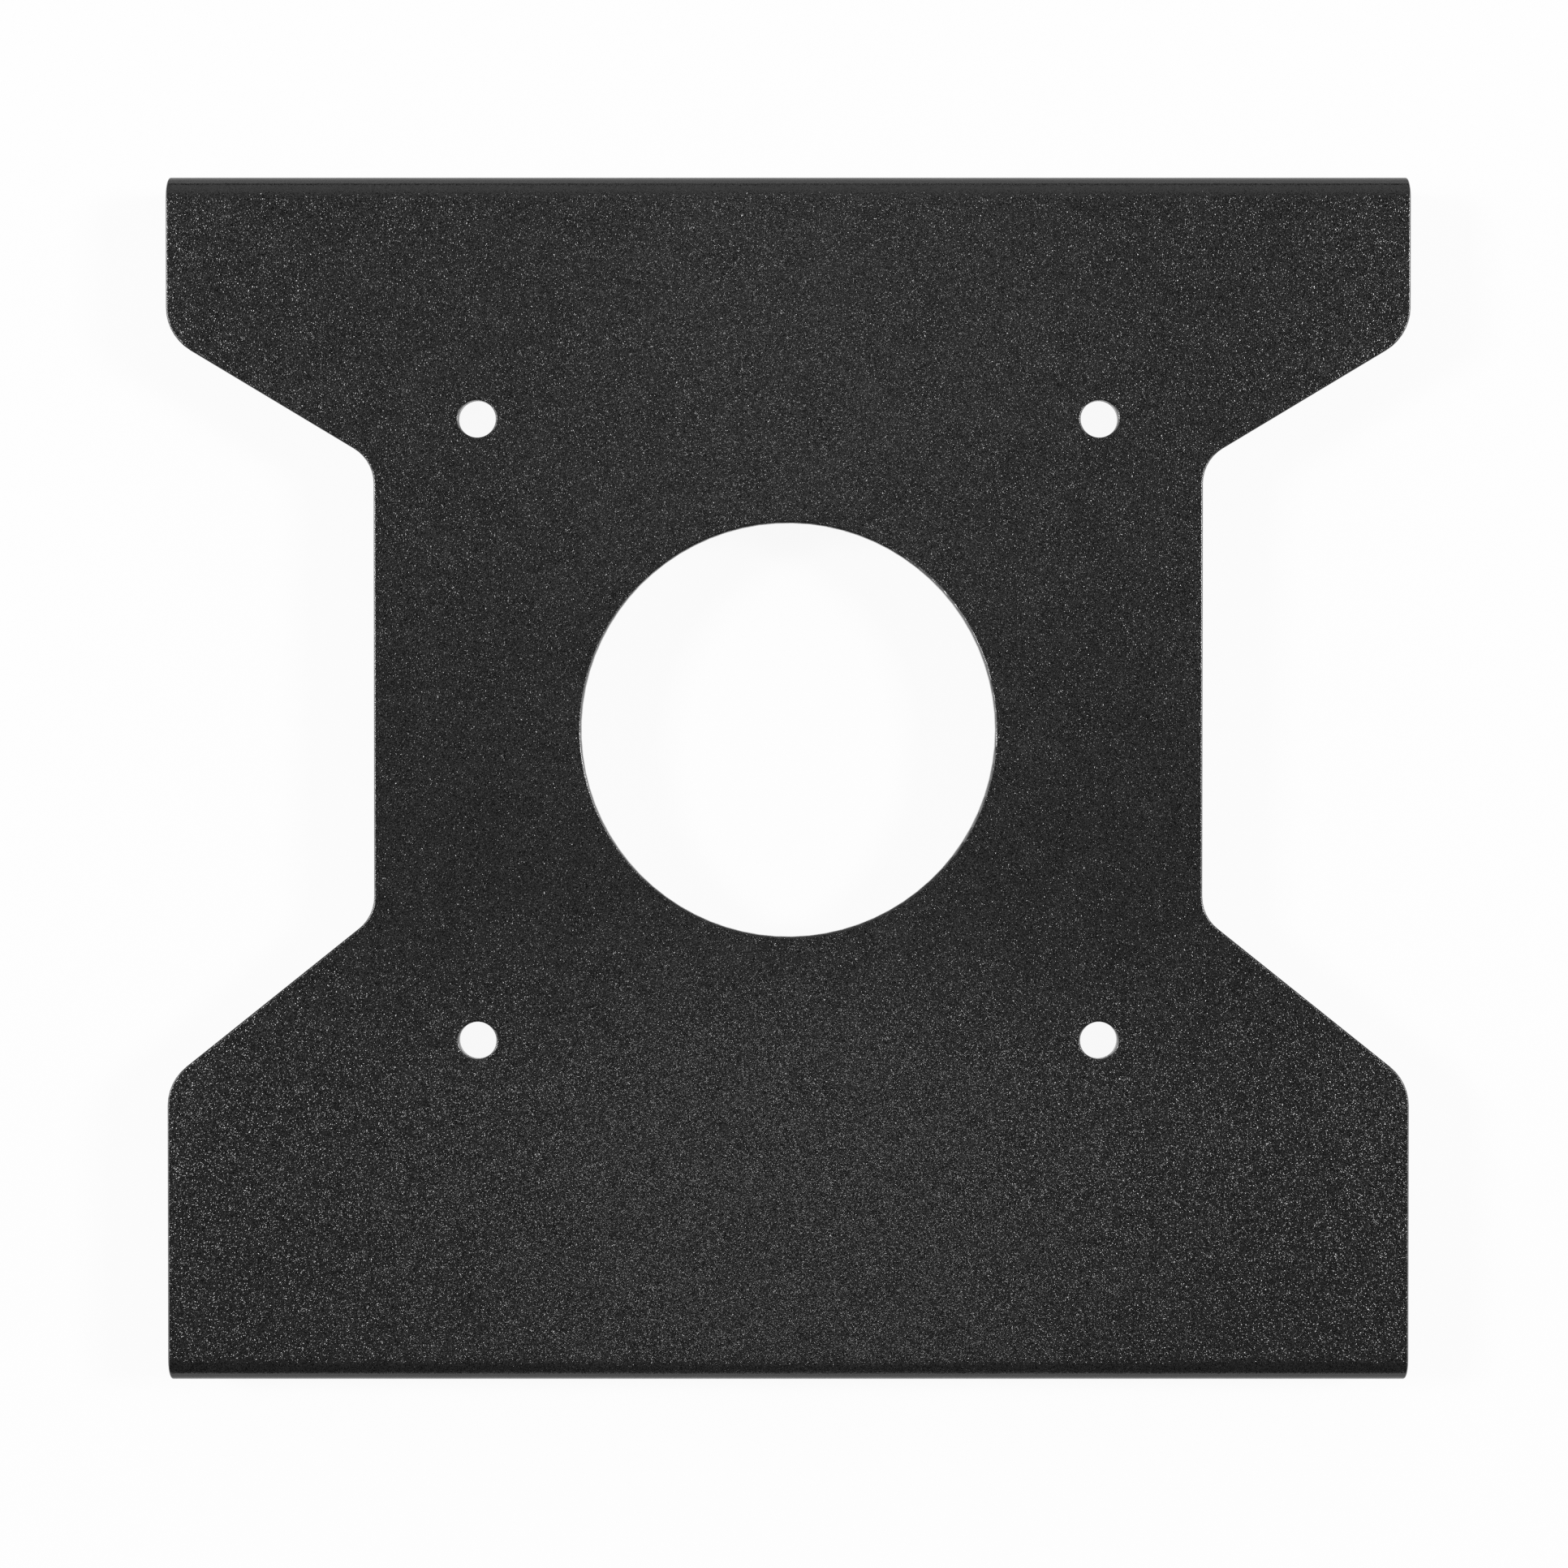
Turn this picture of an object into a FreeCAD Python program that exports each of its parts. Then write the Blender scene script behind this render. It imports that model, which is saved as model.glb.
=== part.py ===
import FreeCAD, Part
import math
import os

# Cover plate: one sheet of steel, cut to an hourglass outline and folded back along its top and
# bottom edges. X runs across the plate, Y up it and Z out of its front face. The plate lies face up
# on the free edges of its two flanges, and the origin is on that surface, under the plate's middle.

# Sheet and folds, in millimetres
sheet_thickness = 1.5
bend_inner_radius = 1.5
flange_depth = 12.0  # front face to the free edge of a flange
flange_corner_radius = 2.0

# Outline of the folded plate, seen square on
plate_width = 150.0
plate_height = 146.0
waist_width = 100.0
upper_side_length = 19.5  # top of the plate to the start of the upper slant
upper_slant_rise = 15.0
lower_side_length = 36.5  # bottom of the plate to the start of the lower slant
lower_slant_rise = 20.0
wing_corner_radius = 6.0
waist_corner_radius = 5.0

# Holes: four for screws at the corners of a square, and a large one in its middle
holes_below_top = 67.0  # top of the plate to the middle of the square
screw_spacing = 75.0
screw_hole_diameter = 4.5
centre_hole_diameter = 50.0

# Cut edges: rounded over on the outer skin, which is the front face and the outsides of the flanges,
# and broken at 45 degrees on the inner skin
edge_radius = 0.25
inner_edge_break = 0.2

# Worked out from the sizes above
bend_outer_radius = bend_inner_radius + sheet_thickness
top = plate_height / 2
bottom = -top
holes_y = top - holes_below_top
past = sheet_thickness  # how far a cutting tool runs past what it cuts
AXIS_X = FreeCAD.Vector(1, 0, 0)
AXIS_Z = FreeCAD.Vector(0, 0, 1)


def outline_face(corners):
    """Flat face through (point, radius) corners, with a tangent arc at each that has a radius."""
    stretches = []
    for index, (corner, radius) in enumerate(corners):
        back = (corners[index - 1][0] - corner).normalize()
        ahead = (corners[(index + 1) % len(corners)][0] - corner).normalize()
        if radius == 0:
            stretches.append((corner, None, corner))
            continue
        half_angle = back.getAngle(ahead) / 2
        bisector = (back + ahead).normalize()
        setback = radius / math.tan(half_angle)
        to_middle = radius / math.sin(half_angle) - radius
        stretches.append((corner + back * setback, corner + bisector * to_middle, corner + ahead * setback))
    edges = []
    for index, (start, middle, end) in enumerate(stretches):
        if middle is not None:
            edges.append(Part.Arc(start, middle, end).toShape())
        following = stretches[(index + 1) % len(stretches)][0]
        edges.append(Part.LineSegment(end, following).toShape())
    return Part.Face(Part.Wire(edges))


def folded_channel():
    """The sheet folded to a channel, wider than the plate, so that the outline trims its ends."""
    inner_top = top - sheet_thickness
    inner_bottom = bottom + sheet_thickness
    back = flange_depth - sheet_thickness
    section = [
        (bottom, 0, 0),
        (bottom, flange_depth, bend_outer_radius),
        (top, flange_depth, bend_outer_radius),
        (top, 0, 0),
        (inner_top, 0, 0),
        (inner_top, back, bend_inner_radius),
        (inner_bottom, back, bend_inner_radius),
        (inner_bottom, 0, 0),
    ]
    half_length = plate_width / 2 + past
    corners = [(FreeCAD.Vector(-half_length, y, z), radius) for y, z, radius in section]
    return outline_face(corners).extrude(AXIS_X * 2 * half_length)


def outline_prism():
    """Everything inside the plate's outline, seen along Z: two wings joined by a waist."""
    half_width = plate_width / 2
    half_waist = waist_width / 2
    upper_wing = top - upper_side_length
    lower_wing = bottom + lower_side_length
    right_side = [
        (half_width, bottom - past, 0),
        (half_width, lower_wing, wing_corner_radius),
        (half_waist, lower_wing + lower_slant_rise, waist_corner_radius),
        (half_waist, upper_wing - upper_slant_rise, waist_corner_radius),
        (half_width, upper_wing, wing_corner_radius),
        (half_width, top + past, 0),
    ]
    left_side = [(-x, y, radius) for x, y, radius in reversed(right_side)]
    corners = [(FreeCAD.Vector(x, y, -past), radius) for x, y, radius in right_side + left_side]
    return outline_face(corners).extrude(AXIS_Z * (flange_depth + 2 * past))


def hole(diameter, x, y):
    """A round hole through the face, along Z."""
    start = FreeCAD.Vector(x, y, flange_depth - sheet_thickness - past)
    return Part.makeCylinder(diameter / 2, sheet_thickness + 2 * past, start, AXIS_Z)


def all_holes():
    """The centre hole and the four screw holes round it."""
    holes = [hole(centre_hole_diameter, 0, holes_y)]
    for side in (-1, 1):
        for level in (-1, 1):
            x = side * screw_spacing / 2
            y = holes_y + level * screw_spacing / 2
            holes.append(hole(screw_hole_diameter, x, y))
    return holes


def round_flange_corners(plate):
    """Round the four free corners of the flanges, at the low edges that cross the sheet along Y."""
    corners = []
    for edge in plate.Edges:
        box = edge.BoundBox
        if box.ZMax < flange_corner_radius and box.YLength > box.XLength:
            corners.append(edge)
    return plate.makeFillet(flange_corner_radius, corners)


def middle_of(edge):
    """The point half-way along an edge."""
    return edge.valueAt((edge.FirstParameter + edge.LastParameter) / 2)


def is_sharp(plate, edge):
    """True where the two faces that meet in the edge stand square to each other."""
    normals = []
    for face in plate.ancestorsOfType(edge, Part.Face):
        u, v = face.Surface.parameter(middle_of(edge))
        normals.append(face.normalAt(u, v))
    return len(normals) == 2 and abs(normals[0].dot(normals[1])) < 0.5


def is_on_outer_skin(edge):
    """True on the outer skin: further from the lines that the folds turn about than mid-sheet is."""
    point = middle_of(edge)
    across = max(abs(point.y) - (top - bend_outer_radius), 0)
    up = max(point.z - (flange_depth - bend_outer_radius), 0)
    return math.hypot(across, up) > (bend_inner_radius + bend_outer_radius) / 2


def finish_edges(plate):
    """Round the sharp edges of the outer skin, then break those of the inner one."""
    sharp = [edge for edge in plate.Edges if is_sharp(plate, edge)]
    plate = plate.makeFillet(edge_radius, [edge for edge in sharp if is_on_outer_skin(edge)])
    return plate.makeChamfer(inner_edge_break, [edge for edge in plate.Edges if is_sharp(plate, edge)])


def cover_plate():
    """The finished plate, in one solid."""
    plate = folded_channel().common(outline_prism()).cut(all_holes()).removeSplitter()
    return finish_edges(round_flange_corners(plate)).Solids[0]


os.makedirs("parts", exist_ok=True)
cover_plate().exportStep("parts/cover_plate.step")
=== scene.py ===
import math

import bpy
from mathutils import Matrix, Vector


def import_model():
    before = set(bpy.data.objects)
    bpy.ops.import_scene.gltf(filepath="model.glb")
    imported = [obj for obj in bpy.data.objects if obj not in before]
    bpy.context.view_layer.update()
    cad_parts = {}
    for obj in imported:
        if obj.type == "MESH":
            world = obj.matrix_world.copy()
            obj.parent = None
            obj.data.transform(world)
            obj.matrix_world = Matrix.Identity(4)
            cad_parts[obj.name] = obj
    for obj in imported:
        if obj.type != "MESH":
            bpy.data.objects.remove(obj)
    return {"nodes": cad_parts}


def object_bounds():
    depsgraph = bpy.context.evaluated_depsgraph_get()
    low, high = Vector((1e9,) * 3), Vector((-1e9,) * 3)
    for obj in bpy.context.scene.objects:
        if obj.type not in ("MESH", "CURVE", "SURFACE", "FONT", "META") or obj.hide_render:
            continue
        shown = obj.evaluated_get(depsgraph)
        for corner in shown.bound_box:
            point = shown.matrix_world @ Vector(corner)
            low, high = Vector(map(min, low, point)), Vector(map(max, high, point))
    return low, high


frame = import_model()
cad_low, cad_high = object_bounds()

# A folded cover plate in black powder coat, lying face up on a white floor. The CAD node is drawn as
# it is, and this script adds its coat, the floor, the lamps and the camera. Lengths are in metres.

# The photograph's view: square on to the face, with the plate a little right of and above the middle
PHOTO_WIDTH_AT_FACE = 0.18914
CAMERA_DISTANCE = 0.360
CAMERA_AIM = Vector((-0.00051, -0.00052, 0.0))
CAMERA_PITCH = math.radians(0.6)
CAMERA_CLIP_START = 0.01
SENSOR_WIDTH = 36.0  # millimetres

# Powder coat: near-black paint, made of facets that each have their own colour, tilt and gloss; the pale
# facets' colour is partly random tone and partly a painted sheen
COAT_DARK = (0.0005, 0.0005, 0.0005)
COAT_PALE_AND_SHEEN = (0.033, 0.033, 0.033)
COAT_IOR = 1.55
FACET_SIZE = 0.0001
FACET_MIDDLE = (0.5, 0.5, 0.5)  # the middle of a facet's random colour, which gives its tilt
FACET_TILT = 1.24
FACET_ROUGHNESS = (0.16, 0.34)
UNEVENNESS = (0.4, 1.6)  # a facet's random number plus the wave's height, which spans that roughness

# Fine grain and slow waves in the coat's surface
GRAIN_SIZE = 0.00016
GRAIN_DEPTH = 0.000065
WAVE_SIZE = 0.0045
WAVE_DEPTH = 0.00003
WAVE_DETAIL = 2.0
NOISE_ROUGHNESS = 0.5

# How strongly the coat sparkles from the plate's low edge (0) to its high edge (1), and what the
# facets' tilt, the grain and the added roughness come to where it doesn't
SPARKLE_ALONG_Y = ((0.0, 1.0), (0.17, 1.0), (0.44, 0.0), (0.85, 0.3))
CALM_TILT = 0.56
CALM_GRAIN = 0.7
CALM_ADDED_ROUGHNESS = 0.02

# Shares of the tilt and grain, and of the roughness, that are left at the plate's two ends along X
END_SHARE = 0.6
END_ROUGHNESS_SHARE = 0.8

# The same shares on the folds and on cut edges that face sideways, where the coat flows out smooth
SMOOTH_SHARE = 0.12
SMOOTH_ROUGHNESS_SHARE = 0.6
FOLD_INSET = (0.0028, 0.0008)  # in from the outline: where that starts on a fold, and is complete
FLANGE_DROP = (0.0035, 0.0022)  # down from the front face: where a flange has all its grain, and none
EDGE_FADE = (0.1, 0.35)  # how much a surface faces along X, less a share of how much it faces along Y
EDGE_UP_WEIGHT = 0.6  # that share
EDGE_ROUNDING = (0.05, 0.25)  # how much the rounded part of such an edge faces along Z
EDGE_HIGHLIGHT_COLOUR = (0.2, 0.2, 0.2)  # a painted highlight: the side lamps' light on these rounded edges

# How strongly the coat reflects, and what that drops to on the steep half of the folds, the flanges
# and whatever else faces along Y
SPECULAR = 0.5
STEEP_SPECULAR = 0.2
STEEP_FADE = (0.6, 0.8)  # how much a surface faces along Y

# Lamps: angles in degrees, with 0 on the plate's right, and brightness 1 for a fully lit white wall
RIGHT, TOP, LEFT = 0, 90, 180
LAMP_DISTANCE = 0.9
KEY_TURN = 10.0  # from the right and left toward the top
KEY_ELEVATION = 48.0
KEY_SIZE = 0.19
KEY_BRIGHTNESS = 32.0
PANEL_ELEVATION = 18.0
PANEL_WIDTH = 1.0
PANEL_HEIGHT = 0.42
PANEL_BRIGHTNESS = 1.2
TOP_ELEVATION = 33.0
TOP_SIZE = 0.8
TOP_BRIGHTNESS = 0.55
WORLD_LEVEL = 0.05

# Floor: white to the camera, mostly by a glow of its own, so that the plate's shadow stays faint
FLOOR_SIZE = 60.0
FLOOR_COLOUR = (0.95, 0.95, 0.95)
FLOOR_GLOW_SHARE = 0.93

# Sockets of a Mix node that mixes colours
MIX_FACTOR, MIX_FIRST, MIX_SECOND, MIX_RESULT = 0, 6, 7, 2


def node(tree, kind, **values):
    """A new shader node with its settings or input sockets filled in."""
    made = tree.nodes.new(kind)
    for name, value in values.items():
        socket = name.replace("_", " ")
        if socket in made.inputs:
            made.inputs[socket].default_value = value
        else:
            setattr(made, name, value)
    return made


def feed(tree, socket, source):
    """Fill a socket from another socket, or with a plain number, colour or vector."""
    if isinstance(source, bpy.types.NodeSocket):
        tree.links.new(source, socket)
    else:
        socket.default_value = source


def compute(tree, operation, *values):
    """The result of a Math node."""
    made = node(tree, "ShaderNodeMath", operation=operation)
    for socket, value in zip(made.inputs, values):
        feed(tree, socket, value)
    return made.outputs[0]


def compute_vector(tree, operation, *vectors):
    """The result of a Vector Math node."""
    made = node(tree, "ShaderNodeVectorMath", operation=operation)
    for socket, vector in zip(made.inputs, vectors):
        feed(tree, socket, vector)
    return made.outputs["Value" if operation == "LENGTH" else "Vector"]


def scaled(tree, vector, factor):
    """A vector times a number."""
    made = node(tree, "ShaderNodeVectorMath", operation="SCALE")
    tree.links.new(vector, made.inputs[0])
    tree.links.new(factor, made.inputs["Scale"])
    return made.outputs["Vector"]


def remap(tree, value, source=(0.0, 1.0), target=(0.0, 1.0), smooth=False):
    """A value moved from one range to another and held inside it, with soft ends if smooth."""
    made = node(tree, "ShaderNodeMapRange", From_Min=source[0], From_Max=source[1])
    made.inputs["To Min"].default_value = target[0]
    made.inputs["To Max"].default_value = target[1]
    if smooth:
        made.interpolation_type = "SMOOTHSTEP"
    tree.links.new(value, made.inputs["Value"])
    return made.outputs["Result"]


def ramp(tree, value, stops):
    """A value read off a curve through (position, level) stops."""
    made = node(tree, "ShaderNodeValToRGB")
    made.color_ramp.interpolation = "EASE"
    elements = made.color_ramp.elements
    for index, (position, level) in enumerate(stops):
        if index >= len(elements):
            elements.new(position)
        elements[index].position = position
        elements[index].color = (level, level, level, 1)
    tree.links.new(value, made.inputs["Fac"])
    return made.outputs["Color"]


def mixed(tree, factor, first, second):
    """A colour between two others, given as sockets or as red, green, blue and alpha."""
    made = node(tree, "ShaderNodeMix", data_type="RGBA")
    feed(tree, made.inputs[MIX_FACTOR], factor)
    feed(tree, made.inputs[MIX_FIRST], first)
    feed(tree, made.inputs[MIX_SECOND], second)
    return made.outputs[MIX_RESULT]


def noise(tree, place, size, detail):
    """Smooth random height over the surface, with bumps of about the given size."""
    made = node(tree, "ShaderNodeTexNoise", Scale=1 / size, Detail=detail, Roughness=NOISE_ROUGHNESS)
    tree.links.new(place.outputs["Object"], made.inputs["Vector"])
    return made.outputs["Fac"]


def coat_strengths(tree, place):
    """How the coat varies over the plate: sparkle, end share, smooth share, the painted edge highlight and
    reflection.
    """
    position = node(tree, "ShaderNodeSeparateXYZ")
    tree.links.new(place.outputs["Object"], position.inputs["Vector"])
    along = remap(tree, position.outputs["Y"], (cad_low.y, cad_high.y))
    sparkle = ramp(tree, along, SPARKLE_ALONG_Y)
    sideways = compute(tree, "ABSOLUTE", position.outputs["X"])
    end_share = remap(tree, sideways, (0.0, cad_high.x), (1.0, END_SHARE), smooth=True)

    upward = compute(tree, "ABSOLUTE", position.outputs["Y"])
    fold_fade = [cad_high.y - inset for inset in FOLD_INSET]
    off_fold = remap(tree, upward, fold_fade, (1.0, SMOOTH_SHARE), smooth=True)
    flange_fade = [cad_high.z - drop for drop in FLANGE_DROP]
    on_flange = remap(tree, position.outputs["Z"], flange_fade, (1.0, 0.0), smooth=True)
    off_bend = compute(tree, "MAXIMUM", off_fold, on_flange)

    facing = node(tree, "ShaderNodeSeparateXYZ")
    tree.links.new(place.outputs["Normal"], facing.inputs["Vector"])
    faces_sideways = compute(tree, "ABSOLUTE", facing.outputs["X"])
    faces_up = compute(tree, "ABSOLUTE", facing.outputs["Y"])
    faces_out = compute(tree, "ABSOLUTE", facing.outputs["Z"])
    turned = compute(tree, "SUBTRACT", faces_sideways, compute(tree, "MULTIPLY", faces_up, EDGE_UP_WEIGHT))
    off_edge = remap(tree, turned, EDGE_FADE, (1.0, SMOOTH_SHARE), smooth=True)
    smooth_share = compute(tree, "MULTIPLY", off_bend, off_edge)

    specular = remap(tree, faces_up, STEEP_FADE, (SPECULAR, STEEP_SPECULAR), smooth=True)
    # Painted highlight: rounded edges that face sideways are marked for a paler colour that stands in for
    # the side lamps' reflection
    on_edge = remap(tree, turned, EDGE_FADE, smooth=True)
    rounded = remap(tree, faces_out, EDGE_ROUNDING, smooth=True)
    painted_edge_highlight = compute(tree, "MULTIPLY", on_edge, rounded)
    return sparkle, end_share, smooth_share, painted_edge_highlight, specular


def powder_coat():
    """Fine-textured black powder coat: dark paint, small glossy facets and slight unevenness."""
    material = bpy.data.materials.new("powder_coat")
    material.use_nodes = True
    tree = material.node_tree
    shader = tree.nodes["Principled BSDF"]
    shader.inputs["IOR"].default_value = COAT_IOR
    place = node(tree, "ShaderNodeTexCoord")
    sparkle, end_share, smooth_share, painted_edge_highlight, specular = coat_strengths(tree, place)
    tree.links.new(specular, shader.inputs["Specular IOR Level"])
    grain = noise(tree, place, GRAIN_SIZE, 0.0)
    wave = noise(tree, place, WAVE_SIZE, WAVE_DETAIL)
    facets = node(tree, "ShaderNodeTexVoronoi", Scale=1 / FACET_SIZE, Randomness=1.0)
    tree.links.new(place.outputs["Object"], facets.inputs["Vector"])
    facet = facets.outputs["Color"]
    share = compute(tree, "MULTIPLY", end_share, smooth_share)

    # Tilt: most facets stay nearly flat and a few stand steep, as each is scaled by its own length
    wave_bump = node(tree, "ShaderNodeBump", Strength=1.0, Distance=WAVE_DEPTH)
    tree.links.new(wave, wave_bump.inputs["Height"])
    steepness = compute(tree, "MULTIPLY", remap(tree, sparkle, target=(CALM_TILT, FACET_TILT)), share)
    lean = compute_vector(tree, "SUBTRACT", facet, FACET_MIDDLE)
    length = compute_vector(tree, "LENGTH", lean)
    tilt = scaled(tree, lean, compute(tree, "MULTIPLY", length, steepness))
    tilted = compute_vector(tree, "ADD", wave_bump.outputs["Normal"], tilt)
    grain_bump = node(tree, "ShaderNodeBump", Distance=GRAIN_DEPTH)
    swell = compute(tree, "MULTIPLY", remap(tree, sparkle, target=(CALM_GRAIN, 1.0)), share)
    tree.links.new(swell, grain_bump.inputs["Strength"])
    tree.links.new(grain, grain_bump.inputs["Height"])
    tree.links.new(compute_vector(tree, "NORMALIZE", tilted), grain_bump.inputs["Normal"])
    tree.links.new(grain_bump.outputs["Normal"], shader.inputs["Normal"])

    # Colour: each facet has its own, and rounded edges that face sideways are painted paler as a highlight
    # of the side lamps
    split = node(tree, "ShaderNodeSeparateColor")
    tree.links.new(facet, split.inputs["Color"])
    chance = split.outputs["Blue"]
    # Each facet's random tone, where the pale end is partly a painted sheen
    colour = mixed(tree, chance, (*COAT_DARK, 1), (*COAT_PALE_AND_SHEEN, 1))
    tree.links.new(mixed(tree, painted_edge_highlight, colour, (*EDGE_HIGHLIGHT_COLOUR, 1)), shader.inputs["Base Color"])

    # Roughness: pale facets are duller, and the wave makes patches of either
    unevenness = compute(tree, "ADD", chance, wave)
    roughness = remap(tree, unevenness, UNEVENNESS, FACET_ROUGHNESS)
    added = remap(tree, sparkle, target=(CALM_ADDED_ROUGHNESS, 0.0))
    roughness = compute(tree, "ADD", roughness, added)
    end_part = remap(tree, end_share, (END_SHARE, 1.0), (END_ROUGHNESS_SHARE, 1.0))
    smooth_part = remap(tree, smooth_share, (SMOOTH_SHARE, 1.0), (SMOOTH_ROUGHNESS_SHARE, 1.0))
    roughness = compute(tree, "MULTIPLY", roughness, end_part)
    roughness = compute(tree, "MULTIPLY", roughness, smooth_part)
    tree.links.new(roughness, shader.inputs["Roughness"])
    return material


def floor():
    """A large pale floor under the plate."""
    half = FLOOR_SIZE / 2
    mesh = bpy.data.meshes.new("floor")
    corners = [(-half, -half, 0), (half, -half, 0), (half, half, 0), (-half, half, 0)]
    mesh.from_pydata(corners, [], [(0, 1, 2, 3)])
    ground = bpy.data.objects.new("floor", mesh)
    bpy.context.scene.collection.objects.link(ground)

    material = bpy.data.materials.new("floor")
    material.use_nodes = True
    tree = material.node_tree
    tree.nodes.remove(tree.nodes["Principled BSDF"])
    paint = node(tree, "ShaderNodeBsdfDiffuse", Color=(*FLOOR_COLOUR, 1))
    glow = node(tree, "ShaderNodeEmission", Color=(1, 1, 1, 1), Strength=1.0)
    ray = node(tree, "ShaderNodeLightPath").outputs
    seen = compute(tree, "MAXIMUM", ray["Is Camera Ray"], ray["Is Glossy Ray"])
    seen = compute(tree, "MAXIMUM", seen, ray["Is Transmission Ray"])
    mix = node(tree, "ShaderNodeMixShader")
    tree.links.new(compute(tree, "MULTIPLY", seen, FLOOR_GLOW_SHARE), mix.inputs["Fac"])
    tree.links.new(paint.outputs[0], mix.inputs[1])
    tree.links.new(glow.outputs[0], mix.inputs[2])
    tree.links.new(mix.outputs[0], tree.nodes["Material Output"].inputs["Surface"])
    mesh.materials.append(material)


def softbox(name, azimuth, elevation, width, height, brightness):
    """A rectangular lamp aimed at the plate's middle; brightness 1 is a white surface at full light."""
    around, up = math.radians(azimuth), math.radians(elevation)
    flat = math.cos(up)
    place = Vector((math.cos(around) * flat, math.sin(around) * flat, math.sin(up))) * LAMP_DISTANCE
    lamp = bpy.data.lights.new(name, "AREA")
    lamp.shape = "RECTANGLE"
    lamp.size = width
    lamp.size_y = height
    lamp.energy = math.pi * width * height * brightness
    holder = bpy.data.objects.new(name, lamp)
    holder.location = place
    holder.rotation_euler = (-place).to_track_quat("-Z", "Y").to_euler()
    bpy.context.scene.collection.objects.link(holder)


def world(level):
    """Even grey light from all round."""
    scene = bpy.context.scene
    scene.world = bpy.data.worlds.new("studio")
    scene.world.use_nodes = True
    background = scene.world.node_tree.nodes["Background"]
    background.inputs["Color"].default_value = (1, 1, 1, 1)
    background.inputs["Strength"].default_value = level


def camera():
    """Looks almost straight down on the plate, with the plate's +Y up in the picture."""
    scene = bpy.context.scene
    data = bpy.data.cameras.new("camera")
    data.sensor_width = SENSOR_WIDTH
    data.lens = SENSOR_WIDTH * CAMERA_DISTANCE / PHOTO_WIDTH_AT_FACE
    data.clip_start = CAMERA_CLIP_START
    holder = bpy.data.objects.new("camera", data)
    aim = CAMERA_AIM + Vector((0, 0, cad_high.z))
    back = Vector((0, math.sin(CAMERA_PITCH), math.cos(CAMERA_PITCH)))
    holder.location = aim + back * CAMERA_DISTANCE
    holder.rotation_euler = (-CAMERA_PITCH, 0, 0)
    scene.collection.objects.link(holder)
    scene.camera = holder


plate = frame["nodes"]["cover_plate"]
plate.data.materials.clear()
plate.data.materials.append(powder_coat())

floor()
world(WORLD_LEVEL)
for side, azimuth in (("left", LEFT - KEY_TURN), ("right", RIGHT + KEY_TURN)):
    softbox(side + "_key", azimuth, KEY_ELEVATION, KEY_SIZE, KEY_SIZE, KEY_BRIGHTNESS)
for side, azimuth in (("left", LEFT), ("right", RIGHT)):
    softbox(side + "_panel", azimuth, PANEL_ELEVATION, PANEL_WIDTH, PANEL_HEIGHT, PANEL_BRIGHTNESS)
softbox("top_panel", TOP, TOP_ELEVATION, TOP_SIZE, TOP_SIZE, TOP_BRIGHTNESS)
camera()
bpy.context.scene.view_settings.view_transform = "Standard"
bpy.context.scene.cycles.use_denoising = False  # it would smooth the coat's fine grain away
